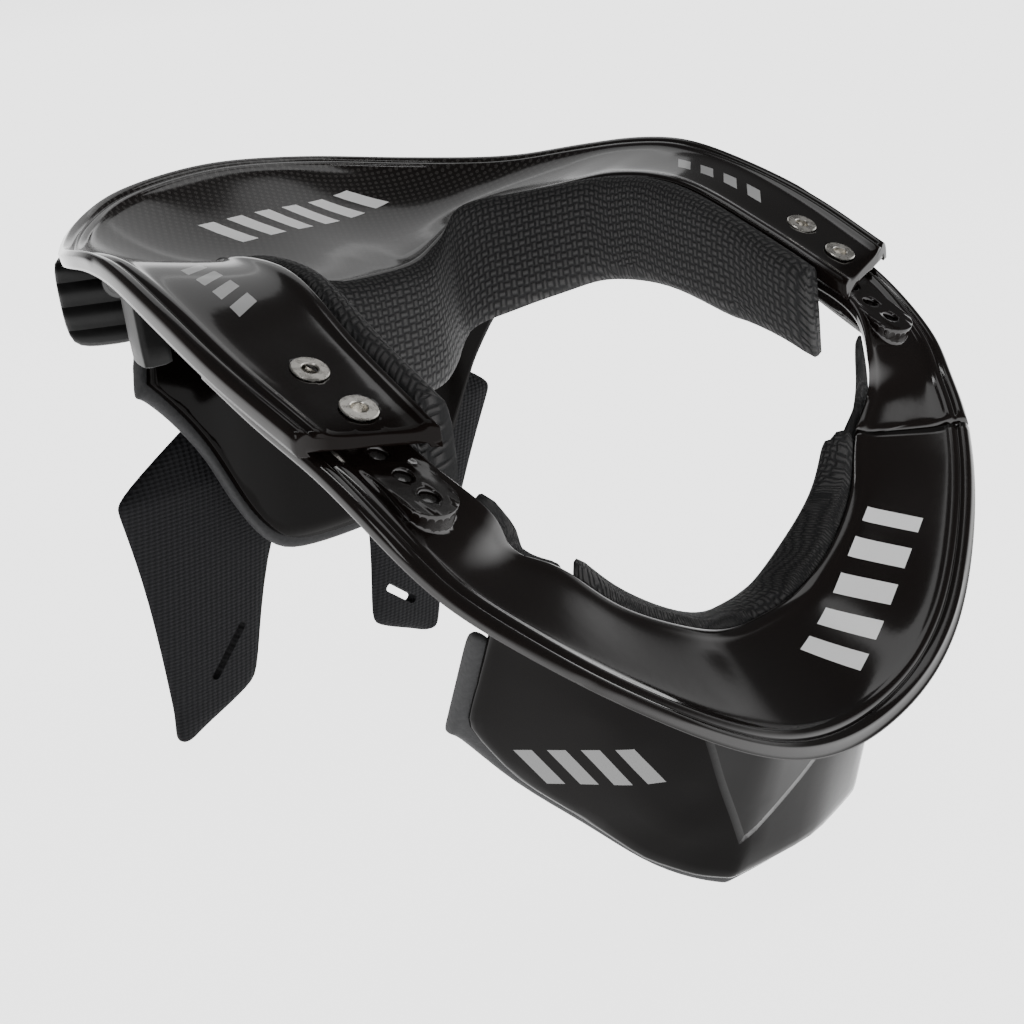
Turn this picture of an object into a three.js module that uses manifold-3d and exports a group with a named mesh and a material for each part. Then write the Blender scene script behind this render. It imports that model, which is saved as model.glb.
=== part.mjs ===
// Motocross neck brace, junior size, standing by itself on its chest pad and its two back flaps.
// Millimetres, +Z up. +X is the wearer's left, -Y the wearer's front. Z = 0 is the surface it stands on.

import * as THREE from 'three';
import { mergeVertices } from 'three/addons/utils/BufferGeometryUtils.js';
import Module from 'manifold-3d';

const wasm = await Module();
wasm.setup();

// Ring: the hard collar and front frame that go round the neck
const RING_WIDTH = 252;
const RING_LENGTH = 282;
const REAR_RIM_HEIGHT = 207;
const FRONT_RIM_HEIGHT = 45;
const NECK_WIDTH = 176;
const NECK_LENGTH = 158;
const NECK_CENTRE_Y = -19;
const COLLAR_WALL = 3.2;
const FRAME_WALL = 2.6;
const PANEL_RECESS = 1;
const RIM_WIDTH = 9;
const REAR_SKIRT = 5;
const ARM_SKIRT = 5.5;
const FRONT_SKIRT = 2.4;
const FRONT_ARM_SKIRT = 4;
const TABLE_DISH = 6;

// Lap: the front arms run under the collar arms and are screwed there
const ARM_LAP = 48;
const LAP_DROP = 8.5;
const LAP_INSET = 4.6;
const SEAM_GAP = 1.6;
const SEAM_STATION = 4;

// Adjuster: a raised boss on each front arm with a row of holes, two of them taken by screws
const HOLE_PITCH = 9;
const HOLES_AHEAD = 3;
const HOLES_BEHIND = 2;
const HOLE_DIAMETER = 5.4;
const BOSS_WIDTH = 15;
const BOSS_DEPTH = 7;
const BOSS_SINK = 4.5;
const SCREW_FROM_TIP = 8.6;
const SCREW_ACROSS = 0.6;
const SCREW_HEAD_DIAMETER = 9.6;
const SCREW_HEAD_DEPTH = 2.6;
const SCREW_DIAMETER = 4.6;
const SCREW_LENGTH = 14;
const SOCKET_DIAMETER = 4.6;
const SOCKET_DEPTH = 1.8;

// Pads: basket-weave foam round the neck opening, and foam behind the chest and back plates
const REAR_PAD_THICKNESS = 10;
const REAR_PAD_HEIGHT = 44;
const ARM_PAD_HEIGHT = 35;
const TIP_PAD_HEIGHT = 30;
const TIP_PAD_SHORT = 10;
const FRONT_PAD_THICKNESS = 17;
const SEAM_PAD_THICKNESS = 11;
const FRONT_PAD_HEIGHT = 24;
const SIDE_PAD_THICKNESS = 6;
const SIDE_PAD_HEIGHT = 24;
const PAD_PROUD = 1.6;
const ARM_PAD_DROP = 0.8;
const SIDE_PAD_DROP = 1.5;
const PLATE_WALL = 3;
const CHEST_PAD_THICKNESS = 6.5;
const BACK_PAD_THICKNESS = 4;
const PAD_RIM = 2.6;
const PAD_FOOT = 4.5;

// Chest plate, back plate and back flaps
const CHEST_WIDTH = 170;
const CHEST_FRONT_Y = -117;
const CHEST_SWEEP = 46;
const CHEST_SIDE_HEIGHT = 65;
const PLATE_LEVELS = [0, 0.25, 0.5, 0.68, 1];
const CHEST_PAD_TOP = 0.68;
const BACK_WIDTH = 160;
const BACK_TIP_Y = 80;
const BACK_SWEEP = 12;
const BACK_TIP_HEIGHT = 69;
const BACK_TOP_SHARE = 0.97;
const BACK_TOP_DROP = 49;
const FLAP_HEIGHT = 134;
const FLAP_REACH = 88;
const FLAP_THICKNESS = 6;
const FLAP_FOOT_Y = 126;
const FLAP_LEAN = 0.31;
const FLAP_SHIFT = -4;

// Blocks under the collar: where each begins and ends round the ring, from its rear middle as a share of the
// whole way, and how far it reaches across the collar from the outer edge, as a share of the width there
const CORNER_BLOCK = { from: 0.104, to: 0.148, outer: 0.16, inner: 0.4 };
const SIDE_HOUSING = { from: 0.156, to: 0.26, outer: 0.38, inner: 0.6 };
const REAR_BRACKET = { from: -0.06, to: 0.06, outer: 0.62, inner: 0.74 };
const BLOCK_PROUD = 6;

const CLEARANCE = 0.3;
const SEAT_CLEARANCE = 0.9;
const BACK_TOP_HEIGHT = REAR_RIM_HEIGHT - BACK_TOP_DROP;
const HOUSING_FOOT = BACK_TOP_HEIGHT + CLEARANCE;
const COLLAR_STEPS = 64;
const FRONT_STEPS = 40;
const ROUND_SEGMENTS = 12;
const DRILL_MARGIN = 4;
const WELD = 1e-4;
const UP = new THREE.Vector3(0, 0, 1);

// Stations of half the ring, from the wearer's left. Shares of the sizes above:
// outer edge x of RING_WIDTH / 2, y of RING_LENGTH / 2, z of the rise from front rim to rear rim;
// inner edge x of NECK_WIDTH / 2, y of NECK_LENGTH / 2 from NECK_CENTRE_Y, z of the same rise.
const COLLAR_STATIONS = [
    { place: 'rear centre', outX: 0, outY: 1, outZ: 1, inX: 0, inY: 0.85, inZ: 0.745, dish: 1 },
    { place: 'rear', outX: 0.32, outY: 0.965, outZ: 0.98, inX: 0.23, inY: 0.87, inZ: 0.75, dish: 1 },
    { place: 'rear corner', outX: 0.57, outY: 0.8, outZ: 0.945, inX: 0.41, inY: 0.94, inZ: 0.78, dish: 0.9 },
    { place: 'corner', outX: 0.77, outY: 0.55, outZ: 0.92, inX: 0.6, inY: 0.99, inZ: 0.83, dish: 0.6 },
    { place: 'shoulder', outX: 0.87, outY: 0.355, outZ: 0.93, inX: 0.75, inY: 0.82, inZ: 0.85, dish: 0.25 },
    { place: 'arm root', outX: 0.92, outY: 0.19, outZ: 0.935, inX: 0.83, inY: 0.56, inZ: 0.87, dish: 0 },
    { place: 'arm top', outX: 0.955, outY: 0.05, outZ: 0.92, inX: 0.87, inY: 0.32, inZ: 0.885, dish: 0 },
    { place: 'arm', outX: 0.985, outY: -0.128, outZ: 0.86, inX: 0.91, inY: -0.01, inZ: 0.865, dish: 0 },
    { place: 'arm lap', outX: 1, outY: -0.312, outZ: 0.783, inX: 0.965, inY: -0.375, inZ: 0.765, dish: 0 },
    { place: 'arm tip', outX: 0.984, outY: -0.503, outZ: 0.69, inX: 0.99, inY: -0.765, inZ: 0.65, dish: 0 },
];

const FRONT_STATIONS = [
    { place: 'front centre', outX: 0, outY: -1, outZ: 0.013, inX: 0, inY: -1.1, inZ: 0.18 },
    { place: 'front', outX: 0.22, outY: -1, outZ: 0.043, inX: 0.2, inY: -1.1, inZ: 0.19 },
    { place: 'chin', outX: 0.41, outY: -0.975, outZ: 0.113, inX: 0.41, inY: -1.09, inZ: 0.24 },
    { place: 'front corner', outX: 0.64, outY: -0.895, outZ: 0.248, inX: 0.61, inY: -1.03, inZ: 0.31 },
    { place: 'seam', outX: 0.8, outY: -0.803, outZ: 0.37, inX: 0.755, inY: -0.95, inZ: 0.395 },
    { place: 'cheek', outX: 0.878, outY: -0.723, outZ: 0.45, inX: 0.895, inY: -0.91, inZ: 0.445 },
    { place: 'arm foot', outX: 0.92, outY: -0.66, outZ: 0.518, inX: 0.935, inY: -0.89, inZ: 0.51 },
];

// Cross-section of a shell, from the skirt's outer edge over the top to the skirt's inner edge.
// rim and share place a point across the shell from its outer edge, as shares of RIM_WIDTH and of its width;
// lift, a share of PANEL_RECESS, is square to the width in the upright plane through it; skirt is a share of
// the skirt's drop, and dish of the dish.
const SHELL_TOP = [
    { name: 'outer hem', rim: 0, share: 0, lift: 0, skirt: 1, dish: 0 },
    { name: 'outer side', rim: 0, share: 0, lift: -1.6, skirt: 0, dish: 0 },
    { name: 'first rib', rim: 0.14, share: 0, lift: 0.3, skirt: 0, dish: 0 },
    { name: 'first rib end', rim: 0.38, share: 0, lift: 0.4, skirt: 0, dish: 0 },
    { name: 'groove', rim: 0.51, share: 0, lift: -0.7, skirt: 0, dish: 0 },
    { name: 'second rib', rim: 0.64, share: 0, lift: 0.2, skirt: 0, dish: 0 },
    { name: 'second rib end', rim: 0.84, share: 0, lift: 0.2, skirt: 0, dish: 0 },
    { name: 'panel edge', rim: 1, share: 0, lift: -1, skirt: 0, dish: 0.1 },
    { name: 'panel outer', rim: 0, share: 0.4, lift: -1, skirt: 0, dish: 0.9 },
    { name: 'panel inner', rim: 0, share: 0.65, lift: -1, skirt: 0, dish: 0.9 },
    { name: 'panel end', rim: -0.51, share: 1, lift: -1, skirt: 0, dish: 0.1 },
    { name: 'frame line', rim: -0.38, share: 1, lift: 0.2, skirt: 0, dish: 0 },
    { name: 'inner side', rim: -0.09, share: 1, lift: 0.2, skirt: 0, dish: 0 },
    { name: 'inner corner', rim: 0, share: 1, lift: -0.4, skirt: 0, dish: 0 },
    { name: 'inner hem', rim: 0, share: 1, lift: 0, skirt: 1, dish: 0 },
].map((row) => ({ ...row, at: row.rim * RIM_WIDTH, lift: row.lift * PANEL_RECESS }));

// The underside follows at the thickness of the wall
function shellUnder(wall) {
    const roof = -wall - PANEL_RECESS;
    return [
        { name: 'inner hem inside', at: -wall, share: 1, lift: 0, skirt: 1, dish: 0 },
        { name: 'inner roof', at: -wall, share: 1, lift: roof, skirt: 0, dish: 0 },
        { name: 'roof inner', at: 0, share: 0.65, lift: roof, skirt: 0, dish: 0.9 },
        { name: 'roof outer', at: 0, share: 0.4, lift: roof, skirt: 0, dish: 0.9 },
        { name: 'outer roof', at: wall, share: 0, lift: roof, skirt: 0, dish: 0 },
        { name: 'outer hem inside', at: wall, share: 0, lift: 0, skirt: 1, dish: 0 },
    ];
}

function lerp(a, b, share) {
    return a + (b - a) * share;
}

function outerPoint(row) {
    return new THREE.Vector3(
        row.outX * RING_WIDTH / 2,
        row.outY * RING_LENGTH / 2,
        lerp(FRONT_RIM_HEIGHT, REAR_RIM_HEIGHT, row.outZ),
    );
}

function innerPoint(row) {
    return new THREE.Vector3(
        row.inX * NECK_WIDTH / 2,
        NECK_CENTRE_Y + row.inY * NECK_LENGTH / 2,
        lerp(FRONT_RIM_HEIGHT, REAR_RIM_HEIGHT, row.inZ),
    );
}

function mirrored(point) {
    return new THREE.Vector3(-point.x, point.y, point.z);
}

// A curve over both sides, from the wearer's right tip round the centre to the left tip
function bothSides(halfPoints) {
    const left = halfPoints;
    const right = halfPoints.slice(1).reverse().map(mirrored);
    return new THREE.CatmullRomCurve3([...right, ...left], false, 'centripetal');
}

const collarOuter = bothSides(COLLAR_STATIONS.map(outerPoint));
const collarInner = bothSides(COLLAR_STATIONS.map(innerPoint));

// The hidden part of a front arm follows the collar arm above it, narrower and lower
function lapPoints(edge, share) {
    const along = 1 - share;
    const outer = collarOuter.getPoint(along);
    const inner = collarInner.getPoint(along);
    const across = inner.clone().sub(outer).normalize();
    const point = edge === 'outer'
        ? outer.addScaledVector(across, LAP_INSET)
        : inner.addScaledVector(across, -LAP_INSET);
    return point.addScaledVector(UP, -LAP_DROP);
}

const STATION_STEP = 0.5 / (COLLAR_STATIONS.length - 1);
const STATION_LENGTH = collarOuter.getPoint(1).distanceTo(collarOuter.getPoint(1 - STATION_STEP));
const LAP_SHARE = STATION_STEP * ARM_LAP / STATION_LENGTH;
const lapShares = [0, LAP_SHARE / 2, LAP_SHARE];
const frontOuter = bothSides([
    ...FRONT_STATIONS.map(outerPoint),
    ...lapShares.map((share) => lapPoints('outer', share)),
]);
const frontInner = bothSides([
    ...FRONT_STATIONS.map(innerPoint),
    ...lapShares.map((share) => lapPoints('inner', share)),
]);

// A shell gives the frame of its surface at any place along it
class Shell {
    constructor(outer, inner, wall, skirtAt, dishAt) {
        this.outer = outer;
        this.inner = inner;
        this.wall = wall;
        this.under = shellUnder(wall);
        this.skirtAt = skirtAt;
        this.dishAt = dishAt;
    }

    frame(along) {
        const outer = this.outer.getPoint(along);
        const inner = this.inner.getPoint(along);
        const across = inner.clone().sub(outer);
        const width = across.length();
        across.normalize();
        const forward = this.outer.getTangent(along);
        const normal = new THREE.Vector3().crossVectors(across, forward).normalize();
        if (normal.z < 0) {
            normal.negate();
        }
        const rise = UP.clone().projectOnPlane(across).normalize();
        return { outer, inner, across, width, normal, forward, rise };
    }

    point(along, row) {
        const { outer, across, width, rise } = this.frame(along);
        const lift = row.lift - row.dish * this.dishAt(along);
        return outer
            .addScaledVector(across, row.at + row.share * width)
            .addScaledVector(rise, lift)
            .addScaledVector(UP, -row.skirt * this.skirtAt(along));
    }

    // A point just under the roof, where another piece seats
    seat(along, share) {
        const lift = -this.wall - PANEL_RECESS - SEAT_CLEARANCE;
        return this.point(along, { at: 0, share, lift, skirt: 0, dish: 0.9 });
    }

    // The height just under the outer skirt
    hem(along) {
        return this.point(along, this.under.at(-1)).z - CLEARANCE;
    }
}

// A value that is one size at the rear or front centre and another at the arm tips
function fade(centre, tip) {
    return (along) => {
        const side = Math.abs(along - 0.5) * 2;
        return lerp(centre, tip, THREE.MathUtils.smoothstep(side, 0.3, 0.7));
    };
}

function dishAt(along) {
    const place = Math.abs(along - 0.5) * 2 * (COLLAR_STATIONS.length - 1);
    const row = Math.min(Math.floor(place), COLLAR_STATIONS.length - 2);
    return TABLE_DISH * lerp(COLLAR_STATIONS[row].dish, COLLAR_STATIONS[row + 1].dish, place - row);
}

const collar = new Shell(collarOuter, collarInner, COLLAR_WALL, fade(REAR_SKIRT, ARM_SKIRT), dishAt);
const front = new Shell(frontOuter, frontInner, FRAME_WALL, fade(FRONT_SKIRT, FRONT_ARM_SKIRT), () => 0);

// Places round the front frame: the seam of the gate, and the collar's tip above the left arm
const SEAM_PLACE = 0.5 + 0.5 * SEAM_STATION / (FRONT_STATIONS.length + lapShares.length - 1);
const LAP_TIP_PLACE = 0.5 + 0.5 * FRONT_STATIONS.length / (FRONT_STATIONS.length + lapShares.length - 1);
const SEAM_PROBE = 0.001;
const seamStep = frontInner.getPoint(SEAM_PLACE + SEAM_PROBE).distanceTo(frontInner.getPoint(SEAM_PLACE));
const SEAM_HALF = SEAM_GAP / 2 * SEAM_PROBE / seamStep;
const PAD_START = 0.02;

// A closed body through sections of equal point counts, with its ends capped
function loft(sections) {
    const count = sections[0].length;
    const positions = sections.flat().flatMap((point) => point.toArray());
    const index = [];
    for (let s = 0; s < sections.length - 1; s += 1) {
        for (let i = 0; i < count; i += 1) {
            const next = (i + 1) % count;
            const a = s * count + i;
            const b = s * count + next;
            index.push(a, b, b + count, a, b + count, a + count);
        }
    }
    addCap(index, sections[0], 0, true);
    addCap(index, sections.at(-1), (sections.length - 1) * count, false);
    const geometry = new THREE.BufferGeometry();
    geometry.setAttribute('position', new THREE.Float32BufferAttribute(positions, 3));
    geometry.setIndex(index);
    return facingOut(geometry);
}

// The cap is triangulated in the section's own best plane
function addCap(index, section, first, flip) {
    const middle = section.reduce((sum, p) => sum.add(p), new THREE.Vector3()).divideScalar(section.length);
    const normal = new THREE.Vector3();
    section.forEach((p, i) => {
        const q = section[(i + 1) % section.length];
        normal.add(new THREE.Vector3().crossVectors(p.clone().sub(middle), q.clone().sub(middle)));
    });
    normal.normalize();
    const u = section[1].clone().sub(section[0]).projectOnPlane(normal).normalize();
    const v = new THREE.Vector3().crossVectors(normal, u);
    const flat = section.map((p) => {
        const fromMiddle = p.clone().sub(middle);
        return new THREE.Vector2(fromMiddle.dot(u), fromMiddle.dot(v));
    });
    for (const [a, b, c] of THREE.ShapeUtils.triangulateShape(flat, [])) {
        index.push(first + a, first + (flip ? c : b), first + (flip ? b : c));
    }
}

function signedVolume(geometry) {
    const position = geometry.attributes.position;
    const index = geometry.index.array;
    const corner = (i) => new THREE.Vector3().fromBufferAttribute(position, index[i]);
    let volume = 0;
    for (let i = 0; i < index.length; i += 3) {
        volume += corner(i).dot(corner(i + 1).cross(corner(i + 2))) / 6;
    }
    return volume;
}

function facingOut(geometry) {
    if (signedVolume(geometry) < 0) {
        const index = geometry.index.array;
        for (let i = 0; i < index.length; i += 3) {
            [index[i + 1], index[i + 2]] = [index[i + 2], index[i + 1]];
        }
    }
    return geometry;
}

function toManifold(geometry) {
    const bare = geometry.clone();
    bare.deleteAttribute('normal');
    bare.deleteAttribute('uv');
    const merged = mergeVertices(bare, WELD);
    return new wasm.Manifold(new wasm.Mesh({
        numProp: 3,
        vertProperties: new Float32Array(merged.attributes.position.array),
        triVerts: new Uint32Array(merged.index.array),
    }));
}

function toGeometry(solid) {
    const mesh = solid.getMesh();
    const geometry = new THREE.BufferGeometry();
    geometry.setAttribute('position', new THREE.Float32BufferAttribute(mesh.vertProperties, 3));
    geometry.setIndex(Array.from(mesh.triVerts));
    return geometry;
}

// The places of the sections of a shell, which the pad inside it shares
function placesAlong(from, to, steps) {
    return Array.from({ length: steps + 1 }, (unused, i) => lerp(from, to, i / steps));
}

const collarPlaces = placesAlong(0, 1, COLLAR_STEPS);
const framePlaces = placesAlong(0, SEAM_PLACE - SEAM_HALF, FRONT_STEPS);
const gatePlaces = placesAlong(SEAM_PLACE + SEAM_HALF, 1, FRONT_STEPS / 2);

function shellSolid(shell, places) {
    const rows = [...SHELL_TOP, ...shell.under];
    return loft(places.map((along) => rows.map((row) => shell.point(along, row))));
}

// Cross-section of a neck pad: out is its share of thickness away from the shell, down its share of height
const PAD_SECTION = [
    { name: 'top at shell', out: 0, down: 0.02 },
    { name: 'top', out: 0.35, down: -0.02 },
    { name: 'top rounding', out: 0.8, down: 0.02 },
    { name: 'face top', out: 1, down: 0.12 },
    { name: 'face middle', out: 1.05, down: 0.5 },
    { name: 'face bottom', out: 0.95, down: 0.9 },
    { name: 'bottom', out: 0.6, down: 1 },
    { name: 'bottom at shell', out: 0, down: 0.97 },
];

function padSolid(shell, places, thicknessAt, proudAt, heightAt) {
    return loft(places.map((along) => {
        const { inner, across } = shell.frame(along);
        const inward = across.clone().setZ(0).normalize();
        const height = heightAt(along);
        return PAD_SECTION.map((row) => inner.clone()
            .addScaledVector(inward, CLEARANCE + row.out * thicknessAt(along))
            .addScaledVector(UP, proudAt(along) - row.down * height));
    }));
}

// Geometry made along Y, turned so that Y is the direction given, with its origin at a point
function stoodAt(geometry, point, direction) {
    const turn = new THREE.Quaternion().setFromUnitVectors(new THREE.Vector3(0, 1, 0), direction);
    return geometry.applyQuaternion(turn).translate(point.x, point.y, point.z);
}

// The adjuster on one arm: side 1 is the wearer's left, -1 the right
function adjuster(side) {
    const tip = side > 0 ? 1 : 0;
    const along = lerp(tip, 0.5, 2 * STATION_STEP * SCREW_FROM_TIP / STATION_LENGTH);
    const { outer, across, width, normal, forward, rise } = collar.frame(along);
    const back = forward.multiplyScalar(-side);
    const slope = normal.dot(rise);
    const centre = outer
        .addScaledVector(across, width * SCREW_ACROSS)
        .addScaledVector(normal, -PANEL_RECESS * slope);
    const place = (steps) => centre.clone().addScaledVector(back, steps * HOLE_PITCH);
    const roof = COLLAR_WALL * slope + CLEARANCE;
    return { place, normal, back, roof, screws: [place(0), place(2)] };
}

// An adjuster hole, drilled from just above the arm to just past a screw's end
function bore(point, normal) {
    const radius = HOLE_DIAMETER / 2;
    const drill = new THREE.CylinderGeometry(radius, radius, SCREW_LENGTH + 2 * DRILL_MARGIN, ROUND_SEGMENTS);
    return toManifold(stoodAt(drill.translate(0, -SCREW_LENGTH / 2, 0), point, normal));
}

function headProfile(extra) {
    const cone = SCREW_HEAD_DEPTH + extra;
    return [
        new THREE.Vector2(0, extra),
        new THREE.Vector2(SCREW_HEAD_DIAMETER / 2 + extra, extra),
        new THREE.Vector2(SCREW_HEAD_DIAMETER / 2 + extra, 0),
        new THREE.Vector2(SCREW_DIAMETER / 2 + extra, -cone),
        new THREE.Vector2(SCREW_DIAMETER / 2 + extra, -SCREW_LENGTH - extra),
        new THREE.Vector2(0, -SCREW_LENGTH - extra),
    ];
}

// A countersunk screw with a hexagon socket
function screwSolid(point, normal) {
    const profile = headProfile(0).filter((p, i) => i !== 2);
    const turned = new THREE.LatheGeometry(profile.reverse(), ROUND_SEGMENTS);
    const blank = toManifold(stoodAt(turned, point, normal));
    const socket = new THREE.CylinderGeometry(SOCKET_DIAMETER / 2, SOCKET_DIAMETER / 2, 2 * SOCKET_DEPTH, 6);
    return toGeometry(blank.subtract(toManifold(stoodAt(socket, point, normal))));
}

function screwSpace(point, normal) {
    const space = new THREE.LatheGeometry(headProfile(CLEARANCE).reverse(), ROUND_SEGMENTS);
    return toManifold(stoodAt(space, point, normal));
}

// The boss is a stadium block a little below the collar arm's roof, pierced by the row of holes
function bossSolid(arm) {
    const length = (HOLES_AHEAD + HOLES_BEHIND) * HOLE_PITCH;
    const radius = BOSS_WIDTH / 2;
    const outline = new THREE.Shape();
    outline.moveTo(-length / 2, -radius);
    outline.lineTo(length / 2, -radius);
    outline.absarc(length / 2, 0, radius, -Math.PI / 2, Math.PI / 2);
    outline.lineTo(-length / 2, radius);
    outline.absarc(-length / 2, 0, radius, Math.PI / 2, Math.PI * 1.5);
    const extrusion = { depth: BOSS_DEPTH, bevelEnabled: false, curveSegments: ROUND_SEGMENTS / 2 };
    const block = new THREE.ExtrudeGeometry(outline, extrusion);
    const rowMiddle = arm.place((HOLES_BEHIND - HOLES_AHEAD) / 2);
    const middle = rowMiddle.addScaledVector(arm.normal, -arm.roof - BOSS_SINK - BOSS_DEPTH);
    const sideways = new THREE.Vector3().crossVectors(arm.normal, arm.back);
    const matrix = new THREE.Matrix4().makeBasis(arm.back, sideways, arm.normal).setPosition(middle);
    return toManifold(block.applyMatrix4(matrix));
}

const arms = { right: adjuster(-1), left: adjuster(1) };

function withAdjuster(geometry, arm) {
    let solid = toManifold(geometry).add(bossSolid(arm));
    for (let steps = -HOLES_AHEAD; steps <= HOLES_BEHIND; steps += 1) {
        solid = solid.subtract(bore(arm.place(steps), arm.normal));
    }
    return toGeometry(solid);
}

function collarSolid() {
    let solid = toManifold(shellSolid(collar, collarPlaces));
    for (const arm of Object.values(arms)) {
        for (const point of arm.screws) {
            solid = solid.subtract(screwSpace(point, arm.normal));
        }
    }
    return toGeometry(solid);
}

// Rows of half the chest plate, from its middle to its side. Its lower edge: side is a share of
// CHEST_WIDTH / 2, sweep of CHEST_SWEEP, rise of CHEST_SIDE_HEIGHT. Its upper edge seats under the front
// frame: along is the place round the frame from its middle, across the share over its width.
const CHEST_STATIONS = [
    { place: 'middle', side: 0, sweep: 0, rise: 0, along: 0, across: 0.28 },
    { place: 'keel edge', side: 0.33, sweep: 0.11, rise: 0, along: 0.06, across: 0.28 },
    { place: 'keel foot', side: 0.37, sweep: 0.14, rise: 0, along: 0.1, across: 0.48 },
    { place: 'front', side: 0.46, sweep: 0.27, rise: 0.045, along: 0.135, across: 0.5 },
    { place: 'wing', side: 0.58, sweep: 0.48, rise: 0.165, along: 0.167, across: 0.5 },
    { place: 'wing side', side: 0.7, sweep: 0.72, rise: 0.4, along: 0.215, across: 0.5 },
    { place: 'corner', side: 0.86, sweep: 0.94, rise: 0.66, along: 0.25, across: 0.55 },
    { place: 'side', side: 1, sweep: 1, rise: 1, along: 0.265, across: 0.65 },
];

// Rows of half the back plate: its lower edge from the middle to the side
const BACK_STATIONS = [
    { place: 'middle', side: 0, sweep: 0, rise: 0 },
    { place: 'foot', side: 0.34, sweep: 0.08, rise: 0.02 },
    { place: 'foot corner', side: 0.46, sweep: 0.18, rise: 0.08 },
    { place: 'edge', side: 0.6, sweep: 0.35, rise: 0.26 },
    { place: 'edge middle', side: 0.73, sweep: 0.6, rise: 0.56 },
    { place: 'edge top', side: 0.9, sweep: 0.85, rise: 0.77 },
    { place: 'side', side: 1, sweep: 1, rise: 0.87 },
];

function chestEdges(row, side) {
    const bottom = new THREE.Vector3(
        side * row.side * CHEST_WIDTH / 2,
        CHEST_FRONT_Y + row.sweep * CHEST_SWEEP,
        lerp(PAD_FOOT, CHEST_SIDE_HEIGHT, row.rise),
    );
    return { bottom, top: front.seat(0.5 + side * row.along, row.across) };
}

function backEdges(row, side) {
    const x = side * row.side * BACK_WIDTH / 2;
    const y = BACK_TIP_Y - row.sweep * BACK_SWEEP;
    const bottom = new THREE.Vector3(x, y, lerp(BACK_TIP_HEIGHT + PAD_FOOT, BACK_TOP_HEIGHT, row.rise));
    return { bottom, top: new THREE.Vector3(x * BACK_TOP_SHARE, y, BACK_TOP_HEIGHT) };
}

// Lower and upper edge of a plate over both sides, with the level direction through the plate at each row
function plateRows(stations, edgesOf) {
    const rows = [
        ...stations.slice(1).reverse().map((row) => edgesOf(row, -1)),
        ...stations.map((row) => edgesOf(row, 1)),
    ];
    return rows.map((row, i) => {
        const before = rows[Math.max(i - 1, 0)].bottom;
        const after = rows[Math.min(i + 1, rows.length - 1)].bottom;
        const run = after.clone().sub(before).setZ(0).normalize();
        return { ...row, through: new THREE.Vector3(-run.y, run.x, 0) };
    });
}

// A plate between two depths behind its face, from its lower edge, or a rim below it, to a share of its
// height.
// Its first and last surface are cut into triangles the two ways round, so a pad that meets a plate's last
// surface has its own last surface there.
function plateSolid(rows, first, last, rim, topShare) {
    return loft(rows.map(({ bottom, top, through }) => {
        const foot = rim > 0 ? [-rim / (top.z - bottom.z)] : [];
        const shares = [...foot, ...PLATE_LEVELS.filter((share) => share <= topShare)];
        const level = (share, depth) => bottom.clone().lerp(top, share).addScaledVector(through, depth);
        const firstSurface = shares.map((share) => level(share, first));
        const lastSurface = shares.map((share) => level(share, last));
        return [...firstSurface, ...lastSurface.reverse()];
    }));
}

// The foam behind a plate stands out beside it by one more row at each side
function withRim(rows) {
    const beyond = (row, neighbour) => {
        const step = row.bottom.clone().sub(neighbour.bottom).setZ(0).setLength(PAD_RIM);
        return { bottom: row.bottom.clone().add(step), top: row.top.clone().add(step), through: row.through };
    };
    return [beyond(rows[0], rows[1]), ...rows, beyond(rows.at(-1), rows.at(-2))];
}

const chestRows = plateRows(CHEST_STATIONS, chestEdges);
const backRows = plateRows(BACK_STATIONS, backEdges);

// Outline of a back flap by height: inner and outer edge as shares of FLAP_REACH
const FLAP_STATIONS = [
    { place: 'foot', height: 0, inner: 0.66, outer: 0.73 },
    { place: 'foot corner', height: 0.025, inner: 0.6, outer: 0.75 },
    { place: 'inner corner', height: 0.1, inner: 0.34, outer: 0.765 },
    { place: 'inner side', height: 0.14, inner: 0.31, outer: 0.775 },
    { place: 'middle', height: 0.5, inner: 0.28, outer: 0.87 },
    { place: 'outer corner', height: 0.75, inner: 0.11, outer: 0.985 },
    { place: 'outer tip', height: 0.78, inner: 0.11, outer: 1 },
    { place: 'outer top', height: 0.81, inner: 0.11, outer: 0.98 },
    { place: 'shoulder', height: 0.95, inner: 0.11, outer: 0.6 },
    { place: 'top', height: 1, inner: 0.11, outer: 0.42 },
];

function flapSolid(side) {
    const rootFace = BACK_TIP_Y + PLATE_WALL + BACK_PAD_THICKNESS + 2 * CLEARANCE;
    return loft(FLAP_STATIONS.map((row) => {
        const z = row.height * FLAP_HEIGHT;
        const face = Math.max(FLAP_FOOT_Y - FLAP_THICKNESS - FLAP_LEAN * z, rootFace);
        const inner = side * row.inner * FLAP_REACH + FLAP_SHIFT;
        const outer = side * row.outer * FLAP_REACH + FLAP_SHIFT;
        return [
            new THREE.Vector3(inner, face, z),
            new THREE.Vector3(outer, face, z),
            new THREE.Vector3(outer, face + FLAP_THICKNESS, z),
            new THREE.Vector3(inner, face + FLAP_THICKNESS, z),
        ];
    }));
}

// The places of the collar's sections along a block: side 1 is the wearer's left, -1 the right
function blockPlaces(block, side) {
    return collarPlaces.filter((along) => {
        const fromMiddle = side * (along - 0.5);
        return fromMiddle > block.from && fromMiddle < block.to;
    });
}

// A block that hangs from the collar's roof down to the housings' foot
function underBlock(block, side) {
    return loft(blockPlaces(block, side).map((along) => {
        const outer = collar.seat(along, block.outer);
        const inner = collar.seat(along, block.inner);
        return [outer, inner, inner.clone().setZ(HOUSING_FOOT), outer.clone().setZ(HOUSING_FOOT)];
    }));
}

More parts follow.
